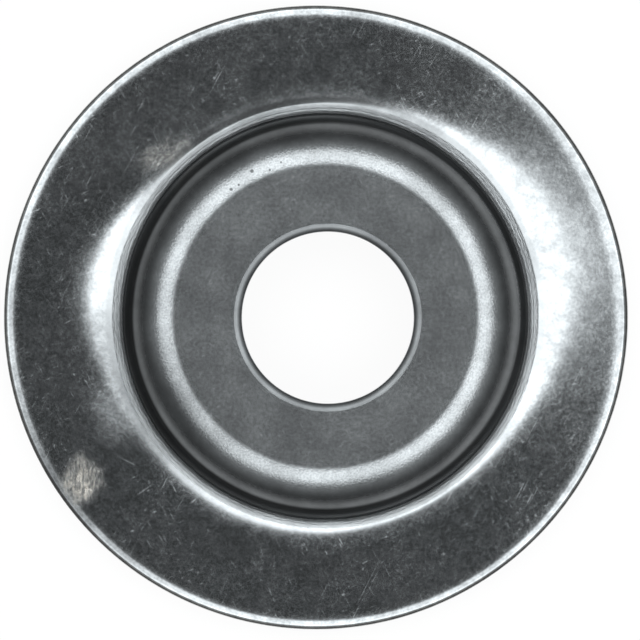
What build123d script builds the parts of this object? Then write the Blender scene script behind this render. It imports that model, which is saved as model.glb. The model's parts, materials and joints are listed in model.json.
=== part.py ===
"""Centering washer: one sheet-steel pressing with a round boss and a bolt hole.

Millimetres, +Z up. The origin is the centre of the outer edge, on the plane that
the flange lies on. The boss stands up from the flange and drops into the bore that
the washer centres. The outer edge was trimmed, and the hole punched, a little out
of line with the boss, so the three have their own axes.
"""

from build123d import *
import os

# Sheet
sheet = 1.5  # thickness, the same in the flange, the wall and the top

# Flange
outer_diameter = 30.0

# Boss
boss_diameter = 19.4  # outside the wall, to drop into a 20 mm bore
land = 0.2  # straight height of the wall, which does the centring
shoulder_radius = 2.55  # outside bend from the wall to the flat top
foot_radius = 0.4  # inside bend from the flange to the wall
boss_centre = (0.45, 0.05)  # from the centre of the outer edge

# Bolt hole
hole_diameter = 8.2  # clears an M8 bolt
hole_drift = (0.12, -0.06)  # from the centre of the boss

# Punched edges: the corner that the punch enters is drawn down into a wide, shallow
# roll, and the corner on the far side is left sharp
rim_roll_width = 0.93
rim_roll_depth = 0.19
hole_roll_width = 0.43
hole_roll_depth = 0.11

# Sizes that follow from the ones above
outer_radius = outer_diameter / 2
boss_radius = boss_diameter / 2
top = sheet + foot_radius + land + shoulder_radius
overrun = outer_radius  # how far the sheet and the cutting shapes run past the washer


def pressed_sheet():
    """The bent sheet before its edges are cut, turned about the boss's own axis.

    Its section is the line of the upper face, thickened downwards, so the sheet
    keeps its thickness round every bend.
    """
    upper_face = FilletPolyline(
        (0, top),
        (boss_radius, top),
        (boss_radius, sheet),
        (outer_radius + overrun, sheet),
        radius=[shoulder_radius, foot_radius],
    )
    section = make_face(offset(upper_face, amount=sheet, side=Side.RIGHT).edges())
    return Pos(*boss_centre) * revolve(Plane.XZ * section, Axis.Z)


def punched(radius, upper, roll_width, roll_depth, side):
    """A round shape that ends at a punched edge, from far below the sheet to far above it.

    side is +1 for the blank inside the edge and -1 for the slug out of a hole. The
    roll is an arc that leaves the upper face smoothly and ends at the punched wall.
    """
    roll = TangentArc(
        (radius - side * roll_width, upper),
        (radius, upper - roll_depth),
        tangent=(side, 0),
    )
    rest = Polyline(
        roll @ 1,
        (radius, upper - sheet - overrun),
        (0, upper - sheet - overrun),
        (0, upper + overrun),
        ((roll @ 0).X, upper + overrun),
        roll @ 0,
    )
    outline = make_face([roll, *rest.edges()])
    return revolve(Plane.XZ * outline, Axis.Z)


def washer():
    """The pressing, trimmed to its outer edge and pierced by the bolt hole."""
    blank = punched(outer_radius, sheet, rim_roll_width, rim_roll_depth, side=1)
    slug = punched(hole_diameter / 2, top, hole_roll_width, hole_roll_depth, side=-1)
    hole_centre = Pos(*boss_centre) * Pos(*hole_drift)
    return (pressed_sheet() & blank) - hole_centre * slug


os.makedirs("parts", exist_ok=True)
export_step(washer(), "parts/washer.step")
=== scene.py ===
# %% [markdown]
# # A zinc-plated centering washer
#
# The washer is one steel pressing: a flange, a round boss that stands up from it and a
# bolt hole through the boss's flat top. The imported CAD model gives its real size. This
# script gives it the finish that press tools, plating and handling leave, and paints
# shade on the boss's shoulder, wall and foot.
#
# The frame comes first. Everything below is placed by what it says, in metres.

# %% Load the frame
import json
import math
from types import SimpleNamespace

import bpy
import numpy as np
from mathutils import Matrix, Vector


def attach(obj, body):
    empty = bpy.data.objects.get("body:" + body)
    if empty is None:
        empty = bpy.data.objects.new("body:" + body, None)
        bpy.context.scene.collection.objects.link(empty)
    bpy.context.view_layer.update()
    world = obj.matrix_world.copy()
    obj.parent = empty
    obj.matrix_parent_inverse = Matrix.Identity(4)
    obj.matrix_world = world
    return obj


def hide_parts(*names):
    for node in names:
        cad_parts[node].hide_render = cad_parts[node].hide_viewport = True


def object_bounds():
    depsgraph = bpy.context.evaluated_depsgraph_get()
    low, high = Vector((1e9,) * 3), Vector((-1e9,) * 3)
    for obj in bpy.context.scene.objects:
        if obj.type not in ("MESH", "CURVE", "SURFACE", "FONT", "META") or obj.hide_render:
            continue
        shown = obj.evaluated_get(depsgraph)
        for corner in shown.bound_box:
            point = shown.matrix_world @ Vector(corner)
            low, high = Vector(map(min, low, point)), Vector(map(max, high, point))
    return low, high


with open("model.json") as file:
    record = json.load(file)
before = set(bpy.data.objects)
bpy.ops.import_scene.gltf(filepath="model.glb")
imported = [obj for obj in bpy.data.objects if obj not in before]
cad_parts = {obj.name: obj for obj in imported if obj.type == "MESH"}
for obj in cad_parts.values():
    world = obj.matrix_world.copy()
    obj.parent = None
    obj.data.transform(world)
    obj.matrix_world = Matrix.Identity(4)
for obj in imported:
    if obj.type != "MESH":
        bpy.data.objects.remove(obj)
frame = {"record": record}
cad_box = [list(corner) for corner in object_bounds()]
mounts = {mount["name"]: mount for mount in frame["record"]["mounts"]}
print("CAD box in mm:", [[round(1000 * c, 3) for c in corner] for corner in cad_box])

# %% [markdown]
# ## The sizes
#
# The record's mounts already measure most of the washer: the hole, the boss's wall, the
# flange's upper face and the roof of the hollow. Reading them here, instead of typing
# them again, keeps the visible surface on the solid when the solid changes. Only the
# small roundings, which no mount gives, are written down.

# %% Sizes of the washer
MM = 0.001

rim_radius = cad_box[1][0]
boss_top = cad_box[1][2]
hole_centre = np.array(mounts["bolt_hole"]["pos_m"][:2])
hole_radius = mounts["bolt_hole"]["dims"]["r_mm"] * MM
boss_centre = np.array(mounts["centering_boss"]["pos_m"][:2])
boss_radius = mounts["centering_boss"]["dims"]["r_mm"] * MM
sheet = mounts["flange_face"]["pos_m"][2]
roof = mounts["nut_seat"]["pos_m"][2]

land_middle = mounts["centering_boss"]["pos_m"][2]
land_half = mounts["centering_boss"]["dims"]["length_mm"] * MM / 2
land_top = land_middle + land_half
shoulder_radius = boss_top - land_top
under_foot_radius = land_middle - land_half

foot_share = 0.8  # the visible foot bend, as a share of the solid's
foot_radius = foot_share * (under_foot_radius - sheet)
foot_slope = math.radians(18)  # slope of the flange where that bend ends
rim_roll_width, rim_roll_depth = 0.91 * MM, 0.135 * MM
hole_roll_width, hole_roll_depth = 0.36 * MM, 0.130 * MM
sharp = 0.03 * MM  # size of the tiny rounding that the plating leaves on a sharp edge

print(f"rim {rim_radius / MM:.2f} mm, boss {boss_radius / MM:.2f} mm, hole {hole_radius / MM:.2f} mm")
print(f"sheet {sheet / MM:.2f} mm, shoulder bend {shoulder_radius / MM:.2f} mm")

# %% [markdown]
# ## The bow of the flange
#
# A real pressing springs when it leaves its die. Here the flange climbs towards the boss:
# in long sweeps on the right and on the left, a short one below and hardly at all above.
# Its right side also leans, by about two degrees all the way to the rim. Nothing shows
# this on a matt part, but on plated steel it makes the wide bright crescents.
#
# It could be sculpted by hand. A formula is better, because the slope has to be smooth to
# a fraction of a degree: one kink would show as a line in the reflection.

# %% Height that the bow adds
SWEEPS = (  # azimuth in degrees, tightness, and length in mm
    (18, 3.6, 0.81),  # right
    (173, 9.5, 0.78),  # left
    (240, 2.5, 0.24),  # below
)
SHORTEST_SWEEP = 0.045 * MM
EVEN_SLOPE_RUN = 0.10 * MM  # straight stretch of the slope before the sweep starts
LEAN_SIDE, LEAN_TIGHTNESS = math.radians(15), 2.6
LEAN_SLOPE = math.radians(2.45)  # even climb of the right side, under the sweep


def lobe(azimuth, middle, tightness):
    """1 at the azimuth middle, falling smoothly on both sides of it and closed over the full turn.

    Formula: e to the power of tightness times (cosine of the angle between them, less 1).
    """
    return np.exp(tightness * (np.cos(azimuth - middle) - 1))


def sweep_height(distance, azimuth):
    """Height of the climbing flange at a distance from the boss's axis.

    Formula: the slope stays at foot_slope up to a point, and from there fades like
    e to the power of minus (distance past that point, over the sweep's length). The
    height is the area under that slope, counted from far outside. The lean adds a slope
    that is the same at every distance.
    """
    sweep = SHORTEST_SWEEP
    for side, tightness, length in SWEEPS:
        sweep = sweep + length * MM * lobe(azimuth, math.radians(side), tightness)
    fade_starts = foot_end + EVEN_SLOPE_RUN
    past = np.maximum(distance - fade_starts, 0)
    before = np.maximum(fade_starts - np.maximum(distance, foot_end), 0)
    lean = math.tan(LEAN_SLOPE) * lobe(azimuth, LEAN_SIDE, LEAN_TIGHTNESS)
    return math.tan(foot_slope) * (sweep * np.exp(-past / sweep) + before) - lean * distance


def bow(x, y):
    """Height that the bow adds at a point: none at the rim, most at the foot of the boss.

    Formula: the sweep's height there, less its height where the same ray from the boss's
    axis leaves the rim. That distance is the positive root of a quadratic.
    """
    dx, dy = x - boss_centre[0], y - boss_centre[1]
    azimuth = np.arctan2(dy, dx)
    along = boss_centre[0] * np.cos(azimuth) + boss_centre[1] * np.sin(azimuth)
    rim_distance = np.sqrt(along**2 + rim_radius**2 - boss_centre @ boss_centre) - along
    return sweep_height(np.hypot(dx, dy), azimuth) - sweep_height(rim_distance, azimuth)


foot_end = boss_radius + foot_radius * (1 - math.sin(foot_slope))
turn = np.linspace(0, 2 * math.pi, 73)
foot_ring = boss_centre[:, None] + foot_end * np.array([np.cos(turn), np.sin(turn)])
print(f"the bow lifts the foot by {bow(*foot_ring).min() / MM:.2f} to {bow(*foot_ring).max() / MM:.2f} mm")

# %% [markdown]
# ## The section, ring by ring
#
# A washer could be a revolved curve with a Screw modifier. This one can't, because its
# hole, boss and rim were made by three tools and have three axes. So the surface is a
# stack of rings, each a true circle with its own centre, radius and height. A ring that
# lies between two tools' work has a centre between theirs.
#
# Rings lie close together where the surface bends, and far apart where it is flat.

# %% Blocks of rings
rim_centre = np.zeros(2)
roll_centre = np.array([0.08, -0.04]) * MM  # of the ring where the rim's roll starts
EARLY_DROP = 0.125  # share of a roll's drop that comes slowly


def rings(centre, radius, height, follow, tucked=0):
    """A block of rings, as six rows: centre x and y, radius, height, follow and tucked.

    follow is how far a ring goes up with the bow, from 0 to 1. tucked is how far it is
    drawn in, from 0 to 1, where the bow lifts the foot onto the shoulder's bend.
    """
    count = len(radius)
    centre = np.broadcast_to(centre, (count, 2))
    return np.stack([centre[:, 0], centre[:, 1], radius, np.broadcast_to(height, count),
                     np.broadcast_to(follow, count), np.broadcast_to(tucked, count)])


def between(start, end, share):
    """Points on the straight way from start to end, at the given shares of it."""
    share = np.asarray(share)
    return start + (end - start) * (share[:, None] if np.ndim(start) else share)


def roll(edge_radius, top, width, depth, side, power, count):
    """Rings of the rolled corner that a blanking punch leaves, from the flat face to the edge.

    Formula: a small share of the drop grows with the square of the way gone and the rest
    with a power of it, so the face bends away slowly at first and then ever faster. side
    is +1 where the metal ends outwards, as at the rim, and -1 at the hole.
    """
    way = np.linspace(0, 1, count)
    drop = EARLY_DROP * way**2 + (1 - EARLY_DROP) * way**power
    return edge_radius - side * width * (1 - way), top - depth * drop


# %% [markdown]
# The blocks follow one another round the section: down from the flat top to the rim,
# back under the flange, up the hollow and across its roof to the hole, and up the hole's
# wall. The last ring meets the first, so the surface is closed with no seam.

# %% Put the section together
STEEP = math.pi / 2
SHOULDER_END = math.radians(74)  # where the bend goes over into the wall

hole_roll_radius, hole_roll_height = roll(
    hole_radius, boss_top, hole_roll_width, hole_roll_depth, side=-1, power=2, count=12)
rim_roll_radius, rim_roll_height = roll(
    rim_radius, sheet, rim_roll_width, rim_roll_depth, side=1, power=6, count=22)
shoulder_start = boss_radius - shoulder_radius
inner_wall = boss_radius - sheet
roof_bend = shoulder_radius - sheet
under_foot = boss_radius + under_foot_radius - sheet

top_share = np.linspace(0, 1, 16)[1:]
shoulder_angle = np.linspace(0, SHOULDER_END, 40)[1:]
land_share = np.linspace(0, 1, 5)[1:]
foot_angle = np.linspace(0, STEEP - foot_slope, 12)[1:]
flange_share = np.linspace(0, 1, 50)[1:] ** 1.4
roll_share = np.linspace(0, 1, len(rim_roll_radius))[1:]
edge_share = np.array([0.0, 0.35, 0.8, 1.0])
under_share = np.linspace(0, 1, 16)[1:]
under_foot_angle = np.linspace(0, STEEP, 14)[1:]
roof_angle = np.linspace(0, STEEP, 12)[1:]
roof_share = np.linspace(0, 1, 9)[1:-1]

foot_height = sheet + foot_radius * math.cos(foot_slope)
shoulder_end_radius = shoulder_start + shoulder_radius * math.sin(SHOULDER_END)
shoulder_end_height = land_top + shoulder_radius * math.cos(SHOULDER_END)
rim_flat_radius = rim_radius - rim_roll_width
corner_angle = np.linspace(0, STEEP, 4)

section = np.concatenate([
    rings(hole_centre, hole_roll_radius[::-1], hole_roll_height[::-1], 0),
    rings(between(hole_centre, boss_centre, top_share),
          between(hole_radius + hole_roll_width, shoulder_start, top_share), boss_top, 0),
    rings(boss_centre, shoulder_start + shoulder_radius * np.sin(shoulder_angle),
          land_top + shoulder_radius * np.cos(shoulder_angle), 0),
    rings(boss_centre, between(shoulder_end_radius, boss_radius, land_share),
          between(shoulder_end_height, foot_height, land_share), land_share, land_share),
    rings(boss_centre, boss_radius + foot_radius * (1 - np.cos(foot_angle)),
          foot_height - foot_radius * np.sin(foot_angle), 1, 1),
    rings(between(boss_centre, roll_centre, flange_share),
          between(foot_end, rim_flat_radius, flange_share), sheet, 1),
    rings(between(roll_centre, rim_centre, roll_share), rim_roll_radius[1:], rim_roll_height[1:], 1),
    rings(rim_centre, np.full(len(edge_share), rim_radius),
          between(rim_roll_height[-1] - sharp, sharp, edge_share), 1),
    rings(rim_centre, rim_radius - sharp * (1 - np.cos(corner_angle[1:])),
          sharp * (1 - np.sin(corner_angle[1:])), 1),
    rings(between(rim_centre, boss_centre, under_share),
          between(rim_radius - sharp, under_foot, under_share), 0, 1),
    rings(boss_centre, under_foot - under_foot_radius * np.sin(under_foot_angle),
          under_foot_radius * (1 - np.cos(under_foot_angle)), 1),
    rings(boss_centre, np.full(len(land_share), inner_wall),
          between(under_foot_radius, land_top, land_share), 1 - land_share),
    rings(boss_centre, inner_wall - roof_bend * (1 - np.cos(roof_angle)),
          land_top + roof_bend * np.sin(roof_angle), 0),
    rings(between(boss_centre, hole_centre, roof_share),
          between(inner_wall - roof_bend, hole_radius + sharp, roof_share), roof, 0),
    rings(hole_centre, hole_radius + sharp * (1 - np.sin(corner_angle)),
          roof + sharp * (1 - np.cos(corner_angle)), 0),
    rings(hole_centre, np.full(len(edge_share), hole_radius),
          between(roof + 2 * sharp, hole_roll_height[-1] - sharp, edge_share), 0),
], axis=1)
print(f"{section.shape[1]} rings round the section")

# %% [markdown]
# ## From rings to a mesh
#
# Two numbers now name every point: which ring, and which way round it. All points are
# worked out at once as numpy arrays, and the bow is added to their heights.
#
# Each cell between two rings and two steps round becomes one four-sided face. Which way
# the faces look is decided by the enclosed volume: it is positive when they look outwards.

# %% Build the washer
ROUND = 410  # steps round each ring


def closed_grid(name, x, y, z):
    """A mesh over a grid of points that closes on itself both ways, like a ring doughnut.

    The four corners of a face are a point, the next one in its ring, the same two of the
    next ring. The volume is a sixth of the sum, over all triangles, of the triple product
    of their corners.
    """
    rows, columns = x.shape
    points = np.stack([x, y, z], axis=-1).reshape(-1, 3)
    here = np.arange(rows * columns).reshape(rows, columns)
    ahead = np.roll(here, -1, axis=1)
    faces = np.stack([here, np.roll(here, -1, axis=0), np.roll(ahead, -1, axis=0), ahead], axis=-1)
    faces = faces.reshape(-1, 4)
    a, b, c, d = (points[faces[:, k]] for k in range(4))
    volume = (np.sum(a * np.cross(b, c)) + np.sum(a * np.cross(c, d))) / 6
    if volume < 0:
        faces = faces[:, ::-1]
    mesh = bpy.data.meshes.new(name)
    mesh.vertices.add(len(points))
    mesh.vertices.foreach_set("co", points.astype(np.float32).ravel())
    mesh.loops.add(faces.size)
    mesh.loops.foreach_set("vertex_index", faces.astype(np.int32).ravel())
    mesh.polygons.add(len(faces))
    mesh.polygons.foreach_set("loop_start", np.arange(0, faces.size, 4, dtype=np.int32))
    mesh.polygons.foreach_set("use_smooth", np.ones(len(faces), dtype=bool))
    mesh.update(calc_edges=True)
    mesh.validate()
    piece = bpy.data.objects.new(name, mesh)
    bpy.context.scene.collection.objects.link(piece)
    print(f"{name}: {2 * len(faces)} triangles, {abs(volume) / MM**3:.0f} cubic mm")
    return piece


centre_x, centre_y, radius, height, follow, tucked = section[:, :, None]
angle = np.linspace(0, 2 * math.pi, ROUND, endpoint=False)[None, :]
foot_lift = bow(boss_centre[0] + foot_end * np.cos(angle), boss_centre[1] + foot_end * np.sin(angle))
climb = np.maximum(foot_height + foot_lift - land_top, 0)
radius = radius - tucked * (shoulder_radius - np.sqrt(shoulder_radius**2 - climb**2))
x = centre_x + radius * np.cos(angle)
y = centre_y + radius * np.sin(angle)
z = height + follow * bow(x, y)
pressing = closed_grid("pressing", x, y, z)

# %% [markdown]
# ## Helpers for materials
#
# A procedural material is a small calculation that runs at every point of the surface.
# These helpers keep such a calculation readable: one adds a node, one joins or sets a
# socket, and the others wrap the few nodes that are used again and again.

# %% Node helpers
def place(tree, kind, **settings):
    """Adds a shader node and sets its properties."""
    made = tree.nodes.new("ShaderNode" + kind)
    for name, value in settings.items():
        setattr(made, name, value)
    return made


def feed(tree, socket, value):
    """Joins an output to the socket, or sets the socket to a number, vector or colour."""
    if isinstance(value, bpy.types.NodeSocket):
        tree.links.new(value, socket)
    else:
        socket.default_value = value


def maths(tree, operation, *values, clamp=False):
    """One Math node."""
    made = place(tree, "Math", operation=operation, use_clamp=clamp)
    for socket, value in zip(made.inputs, values):
        feed(tree, socket, value)
    return made.outputs[0]


def vector(tree, operation, *values):
    """One Vector Math node. Its answer is a number for a length or a distance, else a vector."""
    made = place(tree, "VectorMath", operation=operation)
    for socket, value in zip(made.inputs, values):
        feed(tree, socket, value)
    return made.outputs["Value" if operation in ("LENGTH", "DISTANCE") else "Vector"]


def product(tree, first, *others):
    """Several numbers multiplied together."""
    for other in others:
        first = maths(tree, "MULTIPLY", first, other)
    return first


def largest(tree, first, *others):
    """The largest of several numbers."""
    for other in others:
        first = maths(tree, "MAXIMUM", first, other)
    return first


def between_values(tree, value, low, high, low_gives=0.0, high_gives=1.0):
    """Smooth step: low_gives up to low, high_gives from high on, an S-curve in between."""
    made = place(tree, "MapRange", interpolation_type="SMOOTHSTEP")
    for name, number in (("Value", value), ("From Min", low), ("From Max", high),
                         ("To Min", low_gives), ("To Max", high_gives)):
        feed(tree, made.inputs[name], number)
    return made.outputs["Result"]


def band(tree, value, start, full, fade, end):
    """1 from full to fade, 0 before start and after end."""
    rise = between_values(tree, value, start, full)
    return product(tree, rise, between_values(tree, value, fade, end, 1.0, 0.0))


def noise(tree, point, grain, detail=2.0):
    """Soft noise from 0 to 1, about 0.5 on average, whose grains are about grain metres wide."""
    made = place(tree, "TexNoise")
    feed(tree, made.inputs["Vector"], point)
    feed(tree, made.inputs["Scale"], 1.0 / grain)
    feed(tree, made.inputs["Detail"], detail)
    return made.outputs["Fac"]


def turned(tree, point, heading):
    """The point in axes of which the first lies along the heading, in degrees in the flange's plane."""
    made = place(tree, "VectorRotate", rotation_type="Z_AXIS")
    feed(tree, made.inputs["Vector"], point)
    feed(tree, made.inputs["Angle"], -math.radians(heading))
    return made.outputs[0]


def streaks(tree, point, heading, along, across, detail=3.0):
    """Noise whose grains are drawn out along a heading."""
    scaled = vector(tree, "MULTIPLY", turned(tree, point, heading), (1 / along, 1 / across, 1 / across))
    return noise(tree, scaled, 1.0, detail)


def ellipse(tree, point, middle, heading, half):
    """0 in the middle of an ellipse in the flange's plane, 1 on its edge and more outside."""
    moved = vector(tree, "SUBTRACT", point, (middle[0] * MM, middle[1] * MM, 0.0))
    scale = (1 / (half[0] * MM), 1 / (half[1] * MM), 0.0)
    return vector(tree, "LENGTH", vector(tree, "MULTIPLY", turned(tree, moved, heading), scale))


def near_azimuth(tree, x, y, side, tightness):
    """The same lobe as in the bow, round a side given in degrees."""
    middle = math.radians(side)
    length = maths(tree, "SQRT", maths(tree, "ADD", product(tree, x, x), product(tree, y, y)))
    along = maths(tree, "ADD", product(tree, x, math.cos(middle)), product(tree, y, math.sin(middle)))
    cosine = maths(tree, "DIVIDE", along, maths(tree, "MAXIMUM", length, 1e-9))
    return maths(tree, "EXPONENT", product(tree, maths(tree, "SUBTRACT", cosine, 1.0), tightness))


def mixed(tree, share, first, second):
    """The first number where share is 0 and the second where it is 1."""
    return between_values(tree, share, 0.0, 1.0, first, second)


# %% [markdown]
# ## Where each finish lies
#
# Bright zinc over drawn sheet is not one finish. The flat parts keep the rolled sheet's
# smooth skin. Where the sheet was stretched over the punch, at the start of the
# shoulder, it roughened like orange peel and looks frosted. The die's edge scored the
# foot. The lower shoulder, the wall and the foot's bend are painted darker as shade, for
# the dark room that these steep faces reflect; on the wall it is lightest on the right.
# One side of a strip round the foot is painted darker as shade too.
#
# A picture of the metal would be quick, but it would stretch on the wall. Here every
# finish and every band of painted shade is a band of distance from an axis, so a finish
# stays where its tool made it and the shade stays on its face of the boss.

# %% Zones of the surface
LESS_SHADED_SIDE, LESS_SHADED_TIGHTNESS = 25, 2.0  # degrees, and how narrow that side is, where the wall's painted shade is lightest
WALL_SHADE_DRIFT = 0.15 * MM  # how much lower the wall's painted shade starts on that side


def position(tree):
    """The shaded point, its place counted from the boss's axis, and its distance from each axis."""
    here = place(tree, "TexCoord").outputs["Object"]
    split = place(tree, "SeparateXYZ")
    feed(tree, split.inputs[0], vector(tree, "SUBTRACT", here, (*boss_centre, 0.0)))
    x, y, z = split.outputs
    flat = vector(tree, "MULTIPLY", here, (1.0, 1.0, 0.0))
    boss, hole, rim = (vector(tree, "DISTANCE", flat, (*axis, 0.0))
                       for axis in (boss_centre, hole_centre, rim_centre))
    return SimpleNamespace(here=here, x=x, y=y, z=z, boss=boss, hole=hole, rim=rim)


def ring_zone(tree, distance, size, *edges):
    """A ring whose two soft edges start and end so many millimetres outside a size of the washer."""
    return band(tree, distance, *(size + edge * MM for edge in edges))


def painted_shade_on_wall(tree, at, less_shaded):
    """Painted shade on the wall, from the lower end of the shoulder to the land, for the dark room it
    reflects.
    """
    lowered = maths(tree, "SUBTRACT", at.boss, product(tree, less_shaded, WALL_SHADE_DRIFT))
    start = between_values(tree, lowered, boss_radius - 0.63 * MM, boss_radius - 0.40 * MM)
    end = between_values(tree, at.boss, boss_radius - 0.04 * MM, boss_radius + 0.05 * MM, 1.0, 0.0)
    return product(tree, start, end)


def finish_and_shade_zones(tree, at):
    """How much each finish, and each band of painted shade, counts at the point, from 0 to 1."""
    less_shaded = near_azimuth(tree, at.x, at.y, LESS_SHADED_SIDE, LESS_SHADED_TIGHTNESS)
    outside = between_values(tree, at.z, roof, boss_top)
    frost = ring_zone(tree, at.boss, shoulder_start, -0.05, 0.35, 0.80, 1.35)
    return SimpleNamespace(
        less_shaded=less_shaded,
        frost=product(tree, frost, outside),
        # Lower part of the shoulder, painted greyer towards the wall as shade
        shoulder=ring_zone(tree, at.boss, boss_radius, -1.10, -0.80, -0.50, -0.35),
        # Painted shade on the wall, lightest on the right
        wall=painted_shade_on_wall(tree, at, less_shaded),
        # Steepest part of the wall, painted darker still as shade
        land=ring_zone(tree, at.boss, boss_radius, -0.20, -0.12, 0.01, 0.07),
        # Round the foot: what the die's edge roughened, the bend, painted darker as shade, and a strip
        # painted darker as shade on one side
        scored=ring_zone(tree, at.boss, boss_radius, 0.02, 0.12, 0.40, 0.58),
        foot=ring_zone(tree, at.boss, boss_radius, 0.10, 0.16, 0.30, 0.37),
        foot_strip_shade=ring_zone(tree, at.boss, boss_radius, 0.25, 0.32, 0.70, 1.00),
        # The flange, and the inner part of it that is slightly rubbed
        flange=between_values(tree, at.boss, boss_radius + 0.6 * MM, boss_radius + 1.1 * MM),
        rubbed=between_values(tree, at.boss, boss_radius + 0.5 * MM, boss_radius + 1.7 * MM, 1.0, 0.0),
        # The hole's rolled corner, the rim's, and the rim's cut edge
        lip=ring_zone(tree, at.hole, hole_radius, -0.10, 0.10, 0.30, 0.40),
        rolled=ring_zone(tree, at.rim, rim_radius, -0.60, -0.42, -0.30, -0.15),
        edge=between_values(tree, at.rim, rim_radius - 0.20 * MM, rim_radius - 0.10 * MM),
    )


# %% [markdown]
# ## Marks of handling
#
# Specks and short ticks lie all over the flange, in loose groups, with a few long hair
# scratches. Some marks can be told apart: five scratches at the lower left, five pits in
# the frosted ring, a hazy patch beside the boss and two streaky stains, one of them
# plain to see.
#
# The general marks come from noise that is cut off high up, so that only its peaks are
# left. The single ones are ellipses, each with a place in millimetres from the rim's
# axis, a heading in degrees and two half widths in millimetres.

# %% Marks, pits and stains
GROUP = 3.0 * MM  # width of the groups that the marks lie in
SPECK = 0.24 * MM
TICKS = ((25, 0.60, 0.10), (118, 0.75, 0.09), (62, 1.8, 0.08))  # heading, length, width
PEAK_STARTS, PEAK_FULL = 0.61, 0.79  # levels of the noise at which a mark starts and is full
SCRATCHES = (
    ((-8.24, -8.29), 35, (0.62, 0.055)),
    ((-9.00, -6.94), -27, (0.60, 0.055)),
    ((-5.90, -8.83), 40, (0.25, 0.055)),
    ((-7.78, -9.35), 10, (0.15, 0.055)),
    ((-8.81, -10.26), 15, (0.13, 0.055)),
)
SCRATCH_STRENGTH = 0.75
PITS = (
    ((-4.03, 6.09), 0, (0.10, 0.08)),
    ((-3.67, 6.31), 0, (0.06, 0.06)),
    ((-3.04, 6.96), 0, (0.10, 0.10)),
    ((-2.19, 7.02), 0, (0.06, 0.06)),
    ((-1.66, 7.38), 0, (0.05, 0.05)),
)
STAIN_FIBRE = (0.40 * MM, 0.11 * MM)  # length and width of its streaks
STAIN_EDGE = 0.6 * MM  # width of the bays in its outline
WARM_STAIN = ((-11.25, -7.85), 87, (1.35, 1.15))
FAINT_STAIN = ((-7.3, 7.9), 28, (1.7, 0.75))
HAZE = ((-9.9, -4.6), -62, (2.6, 1.5))


def handling_marks(tree, at, zone):
    """Specks, ticks and hair scratches from noise, and the single scratches."""
    groups = between_values(tree, noise(tree, at.here, GROUP, detail=2), 0.35, 0.65, 0.35, 1.0)
    peaks = [noise(tree, at.here, SPECK, detail=4)]
    for heading, length, width in TICKS:
        peaks.append(streaks(tree, at.here, heading, length * MM, width * MM))
    marks = largest(tree, *(between_values(tree, peak, PEAK_STARTS, PEAK_FULL) for peak in peaks))
    marks = product(tree, marks, groups, mixed(tree, zone.flange, 0.35, 1.0))
    for middle, heading, half in SCRATCHES:
        size = ellipse(tree, at.here, middle, heading, half)
        marks = largest(tree, marks, between_values(tree, size, 0.4, 1.0, SCRATCH_STRENGTH, 0.0))
    return marks


def pits(tree, at):
    """Small dark pits: 1 inside them, 0 outside."""
    shown = (between_values(tree, ellipse(tree, at.here, *pit), 0.5, 1.2, 1.0, 0.0) for pit in PITS)
    return largest(tree, *shown)


def stain(tree, at, outline, strength):
    """A soft patch of fine streaks: 0 outside it, up to its strength inside."""
    middle, heading, half = outline
    fibres = streaks(tree, at.here, heading, *STAIN_FIBRE, detail=4)
    streaky = between_values(tree, fibres, 0.34, 0.66, 0.45, 1.0)
    bays = maths(tree, "SUBTRACT", noise(tree, at.here, STAIN_EDGE, detail=3), 0.5)
    size = ellipse(tree, at.here, middle, heading, half)
    ragged = maths(tree, "ADD", size, product(tree, bays, 0.9))
    return product(tree, streaky, between_values(tree, ragged, 0.35, 1.15, strength, 0.0))


# %% [markdown]
# ## How dark and how rough
#
# Each finish changes two things. Its tone says how much of the light the metal gives
# back, next to clean steel, and its roughness how widely that light spreads. Both start
# from the sheet itself, which is clouded and mottled, and go through the finishes one
# by one. The tone also takes the painted shade round the boss. The order doesn't
# matter, because tones are multiplied and roughnesses added.

# %% Tone and roughness
CLOUD_GRAIN, BLOTCH_GRAIN = 2.2 * MM, 0.45 * MM
PEEL_GRAIN = 0.10 * MM
SHOULDER_SHADE_SIDE, SHOULDER_SHADE_TIGHTNESS, SHOULDER_SHADE_LOSS = 145, 1.5, 0.14  # where the shoulder's painted shade is darker still
STRIP_SHADE_SIDE, STRIP_SHADE_TIGHTNESS, STRIP_SHADE_LOSS = 95, 1.2, 0.48  # where the strip round the foot is painted darker, as shade


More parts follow.
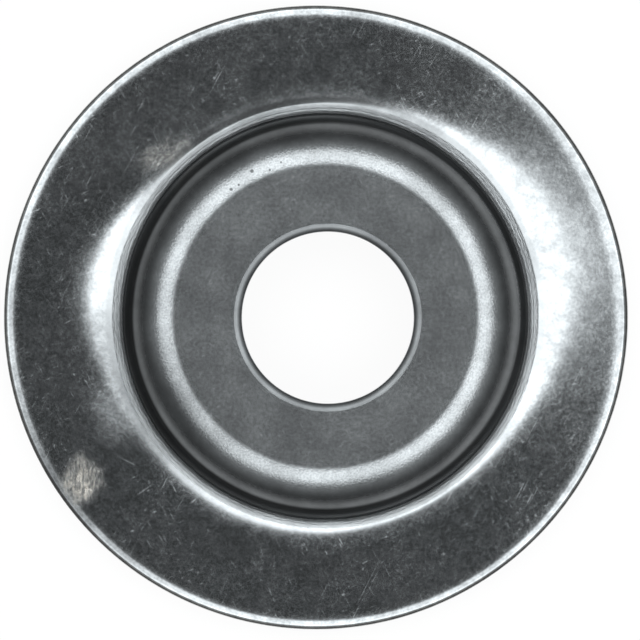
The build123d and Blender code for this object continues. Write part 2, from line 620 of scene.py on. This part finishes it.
def tone_and_painted_shade(tree, at, zone, mottle):
    """Factor on the steel's colour. It is about 1, less where the tools darkened the metal, and less again
    where shade is painted on the shoulder, the wall and round the foot.
    """
    cloud = noise(tree, at.here, CLOUD_GRAIN, detail=6)
    blotch = noise(tree, at.here, BLOTCH_GRAIN, detail=5)
    peel = noise(tree, at.here, PEEL_GRAIN, detail=3)
    # Painted shade, deeper on one side of the lower shoulder
    deeper_shoulder_shade = product(tree, near_azimuth(tree, at.x, at.y, SHOULDER_SHADE_SIDE, SHOULDER_SHADE_TIGHTNESS), SHOULDER_SHADE_LOSS)
    # Painted shade, deeper on one side of the strip round the foot
    strip_shade_depth = product(tree, near_azimuth(tree, at.x, at.y, STRIP_SHADE_SIDE, STRIP_SHADE_TIGHTNESS), STRIP_SHADE_LOSS)
    uneven = maths(tree, "ADD", between_values(tree, blotch, 0.35, 0.65, -0.12, 0.12),
                   between_values(tree, mottle, 0.25, 0.75, -0.13, 0.13))
    uneven = product(tree, uneven, mixed(tree, zone.flange, 0.35, 1.0))
    tone = product(tree, between_values(tree, cloud, 0.3, 0.7, 0.86, 1.16), maths(tree, "ADD", uneven, 1.0))
    for share, factor in (
            (pits(tree, at), 0.30),
            (zone.frost, 0.76),
            (zone.frost, between_values(tree, peel, 0.3, 0.7, 0.84, 1.16)),
            # Painted shade on the lower shoulder, which dims the floor that it reflects
            (zone.shoulder, maths(tree, "SUBTRACT", 0.50, deeper_shoulder_shade)),
            # Painted shade: the wall darkest, least on the right, and its steepest part darker still
            (zone.wall, mixed(tree, zone.less_shaded, 0.09, 0.21)),
            (zone.land, 0.48),
            # Painted shade in the foot's bend and, on one side, in the strip beside it
            (zone.foot, 0.72),
            (zone.foot_strip_shade, maths(tree, "SUBTRACT", 1.0, strip_shade_depth)),
            (zone.lip, 0.47),
            (zone.rolled, 0.72)):
        tone = product(tree, tone, mixed(tree, share, 1.0, factor))
    return tone


def steel_roughness(tree, at, zone, mottle, stained):
    """Roughness: that of the rolled sheet, and what each finish and mark adds to it."""
    haze = between_values(tree, ellipse(tree, at.here, *HAZE), 0.0, 1.0, 1.0, 0.0)
    rough = between_values(tree, mottle, 0.3, 0.7, 0.10, 0.12)
    for share, more in (
            (zone.frost, 0.12),
            (zone.shoulder, 0.17),
            (zone.wall, 0.18),
            (zone.scored, 0.20),
            (zone.rubbed, 0.05),
            (zone.lip, 0.20),
            (haze, 0.07),
            (stained, 0.16),
            (handling_marks(tree, at, zone), 0.105)):
        rough = maths(tree, "ADD", rough, product(tree, share, more))
    return rough


# %% [markdown]
# ## Fine relief
#
# Orange peel, the scores round the foot and the grain of the sheet are some micrometres
# deep. As geometry they would take millions of faces. A Bump node turns the surface's
# direction instead, which is all that a reflection shows of them.

# %% Relief of the surface
PEEL_DEPTH = 0.008 * MM
SCORE_GRAIN, SCORE_DEPTH = 0.06 * MM, 0.020 * MM
SHEET_GRAIN, SHEET_DEPTH = 0.15 * MM, 0.0008 * MM
SCORE_STRETCH = 2.0 * MM  # way round the foot, for each radian, on which the scores are laid out


def relief(tree, height, depth, under=None):
    """A bump of the given depth, on top of another bump if there is one."""
    made = place(tree, "Bump")
    feed(tree, made.inputs["Height"], height)
    feed(tree, made.inputs["Distance"], depth)
    if under is not None:
        feed(tree, made.inputs["Normal"], under)
    return made.outputs[0]


def steel_relief(tree, at, zone):
    """Orange peel in the frosted ring, fine scores round the foot, and the sheet's own grain.

    The scores are noise over distance and azimuth. The azimuth runs from 0 to half a turn
    and back, so they meet where the turn closes.
    """
    azimuth = maths(tree, "PINGPONG", maths(tree, "ARCTAN2", at.y, at.x), math.pi)
    laid_out = place(tree, "CombineXYZ")
    feed(tree, laid_out.inputs[0], at.boss)
    feed(tree, laid_out.inputs[1], product(tree, azimuth, SCORE_STRETCH))
    peel = noise(tree, at.here, PEEL_GRAIN, detail=2)
    scores = noise(tree, laid_out.outputs[0], SCORE_GRAIN, detail=3)
    grain = noise(tree, at.here, SHEET_GRAIN, detail=1)
    bent = relief(tree, product(tree, peel, zone.frost), PEEL_DEPTH)
    bent = relief(tree, product(tree, scores, zone.scored), SCORE_DEPTH, bent)
    return relief(tree, product(tree, grain, mixed(tree, zone.flange, 0.3, 1.0)), SHEET_DEPTH, bent)


# %% [markdown]
# ## Plated steel
#
# The material brings these together. Zinc plating is metal through and through, so it is
# fully metallic. Its colour is a cool grey, a little warmer in the stains and on the
# rim's cut edge, where steel shows.

# %% The steel's material
STEEL = (0.375, 0.395, 0.405, 1.0)
WARM_STEEL = (0.43, 0.41, 0.37, 1.0)
MOTTLE = 0.15 * MM
FAINT_STRENGTH = 0.5  # of the fainter stain
EDGE_WARMTH = 0.35


def plated_steel():
    """Metal whose colour, roughness and fine relief come from the place on the washer."""
    material = bpy.data.materials.new("plated_steel")
    material.use_nodes = True
    tree = material.node_tree
    shader = tree.nodes["Principled BSDF"]
    shader.inputs["Metallic"].default_value = 1.0

    at = position(tree)
    zone = finish_and_shade_zones(tree, at)
    mottle = noise(tree, at.here, MOTTLE, detail=4)
    stained = largest(tree, stain(tree, at, WARM_STAIN, 1.0), stain(tree, at, FAINT_STAIN, FAINT_STRENGTH))

    tint = place(tree, "Mix", data_type="RGBA")
    feed(tree, tint.inputs["Factor"], largest(tree, stained, product(tree, zone.edge, EDGE_WARMTH)))
    feed(tree, tint.inputs["A"], STEEL)
    feed(tree, tint.inputs["B"], WARM_STEEL)
    colour = place(tree, "VectorMath", operation="SCALE")
    feed(tree, colour.inputs[0], tint.outputs["Result"])
    feed(tree, colour.inputs["Scale"], tone_and_painted_shade(tree, at, zone, mottle))
    feed(tree, shader.inputs["Base Color"], colour.outputs[0])
    feed(tree, shader.inputs["Roughness"], steel_roughness(tree, at, zone, mottle, stained))
    feed(tree, shader.inputs["Normal"], steel_relief(tree, at, zone))
    print(f"plated_steel: {len(tree.nodes)} nodes")
    return material


pressing.data.materials.append(plated_steel())
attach(pressing, "root")
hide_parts("washer")

# %% [markdown]
# ## The studio
#
# Polished metal shows little of itself and much of the room. This one was lit by a ring
# of soft light round the lens: dark straight above, bright from about 10 to 36 degrees
# off the vertical, dim below that, with one weaker stretch at the lower left. The lens
# itself is a faint glow, a little off the middle.
#
# Many area lamps could make such a ring. The world does it more evenly, as a formula of
# the direction, and it lights the pale floor to about its own colour too.

# %% World light
# Angles are in degrees off the vertical.
RING_LIGHT = 3.0
RING_STARTS, RING_FULL = 5.5, 11.0
RING_FADES, RING_ENDS, RING_SHARE = 34.0, 41.0, 0.8
SKIRT_ENDS, SKIRT_WIDTH, SKIRT_SHARE = 78.0, 40.0, 0.20
WEAK_SIDE, WEAK_TIGHTNESS, WEAK_LOSS = 211, 18.0, 0.80
LENS_LIGHT, LENS_SPREAD = 0.34, 1.35
LENS_SIDE, LENS_SHIFT = math.radians(60), math.radians(0.45)
OVERHEAD_LIGHT, SIDE_LIGHT = 0.045, 0.09
OVERHEAD_ENDS, SIDE_STARTS = 30.0, 50.0
STUDIO_TINT = (0.97, 0.99, 1.0, 1.0)


def ring_light(tree, off_vertical, x, y):
    """The ring and its dim skirt.

    Formula: a share of the way into the ring, squared, times the sum of a soft step and
    the square of the way left to the skirt's end. The weak stretch is taken off that.
    """
    way_in = maths(tree, "SUBTRACT", off_vertical, RING_STARTS)
    way_in = maths(tree, "DIVIDE", way_in, RING_FULL - RING_STARTS, clamp=True)
    step = between_values(tree, off_vertical, RING_FADES, RING_ENDS, RING_SHARE, 0.0)
    way_out = maths(tree, "SUBTRACT", SKIRT_ENDS, off_vertical)
    way_out = maths(tree, "DIVIDE", way_out, SKIRT_WIDTH, clamp=True)
    skirt = product(tree, way_out, way_out, SKIRT_SHARE)
    loss = product(tree, near_azimuth(tree, x, y, WEAK_SIDE, WEAK_TIGHTNESS), WEAK_LOSS)
    kept = maths(tree, "SUBTRACT", 1.0, loss)
    return product(tree, way_in, way_in, maths(tree, "ADD", step, skirt), kept, RING_LIGHT)


def lens_glow(tree, x, y):
    """The lens: e to the power of minus (distance from its middle, over its spread) squared."""
    across = maths(tree, "SUBTRACT", x, math.sin(LENS_SHIFT) * math.cos(LENS_SIDE))
    up = maths(tree, "SUBTRACT", y, math.sin(LENS_SHIFT) * math.sin(LENS_SIDE))
    squared = maths(tree, "ADD", product(tree, across, across), product(tree, up, up))
    faded = maths(tree, "EXPONENT", maths(tree, "DIVIDE", squared, -math.radians(LENS_SPREAD)**2))
    return product(tree, faded, LENS_LIGHT)


def studio_world():
    """A sky whose brightness depends on the angle off the vertical and on the azimuth."""
    world = bpy.data.worlds.new("studio")
    world.use_nodes = True
    tree = world.node_tree
    tree.nodes.clear()
    split = place(tree, "SeparateXYZ")
    feed(tree, split.inputs[0], place(tree, "TexCoord").outputs["Generated"])
    x, y, z = split.outputs
    off_vertical = maths(tree, "DEGREES", maths(tree, "ARCCOSINE", z))
    room = between_values(tree, off_vertical, OVERHEAD_ENDS, SIDE_STARTS, OVERHEAD_LIGHT, SIDE_LIGHT)
    light = maths(tree, "ADD", ring_light(tree, off_vertical, x, y), room)
    light = maths(tree, "ADD", light, lens_glow(tree, x, y))
    background = place(tree, "Background")
    feed(tree, background.inputs["Color"], STUDIO_TINT)
    feed(tree, background.inputs["Strength"], light)
    output = place(tree, "OutputWorld")
    feed(tree, output.inputs["Surface"], background.outputs[0])
    print(f"studio: {len(tree.nodes)} nodes")
    return world


scene = bpy.context.scene
scene.world = studio_world()
scene.view_settings.view_transform = "Standard"

# %% [markdown]
# The floor is plain and nearly white. It is large, so that the steep wall of the boss
# reflects it all the way to the horizon. To the camera and in mirrors it mostly glows in
# its own white, which keeps it even, and the rest is paint that takes the washer's shadow.

# %% Floor
FLOOR_HALF = 4.0
FLOOR_PAINT = (0.94, 0.94, 0.94, 1.0)
FLOOR_GLOW = 0.92  # share of the floor that glows


def floor():
    """A flat square far larger than the washer, on which it lies."""
    mesh = bpy.data.meshes.new("floor")
    corners = FLOOR_HALF * np.array([[-1, -1, 0], [1, -1, 0], [1, 1, 0], [-1, 1, 0]])
    mesh.from_pydata(corners.tolist(), [], [(0, 1, 2, 3)])
    made = bpy.data.objects.new("floor", mesh)
    scene.collection.objects.link(made)
    material = bpy.data.materials.new("floor_white")
    material.use_nodes = True
    tree = material.node_tree
    tree.nodes.clear()
    paint = place(tree, "BsdfDiffuse")
    feed(tree, paint.inputs["Color"], FLOOR_PAINT)
    glow = place(tree, "Emission")
    feed(tree, glow.inputs["Color"], (1.0, 1.0, 1.0, 1.0))
    rays = place(tree, "LightPath")
    seen = largest(tree, *(rays.outputs[f"Is {kind} Ray"] for kind in ("Camera", "Glossy", "Transmission")))
    mix = place(tree, "MixShader")
    feed(tree, mix.inputs[0], product(tree, seen, FLOOR_GLOW))
    feed(tree, mix.inputs[1], paint.outputs[0])
    feed(tree, mix.inputs[2], glow.outputs[0])
    output = place(tree, "OutputMaterial")
    feed(tree, output.inputs["Surface"], mix.outputs[0])
    made.data.materials.append(material)
    print(f"floor: {2 * FLOOR_HALF:.0f} m wide")


floor()

# %% [markdown]
# ## The camera
#
# The washer is seen from straight above. The camera stands ten washer widths away, which
# is far enough to keep the three circles true and near enough to look into the hole.

# %% Camera
CAMERA_DISTANCE = 0.30
VIEW_WIDTH = 30.76 * MM  # width of the picture on the flange's upper face
VIEW_CENTRE = (0.197 * MM, -0.123 * MM)

camera = bpy.data.objects.new("camera", bpy.data.cameras.new("camera"))
scene.collection.objects.link(camera)
camera.location = (*VIEW_CENTRE, sheet + CAMERA_DISTANCE)
camera.data.sensor_width = 36.0
camera.data.lens = camera.data.sensor_width * CAMERA_DISTANCE / VIEW_WIDTH
camera.data.clip_start = 0.01
camera.data.clip_end = 20.0
scene.camera = camera
print(f"camera: {CAMERA_DISTANCE / (2 * rim_radius):.0f} washer widths away")
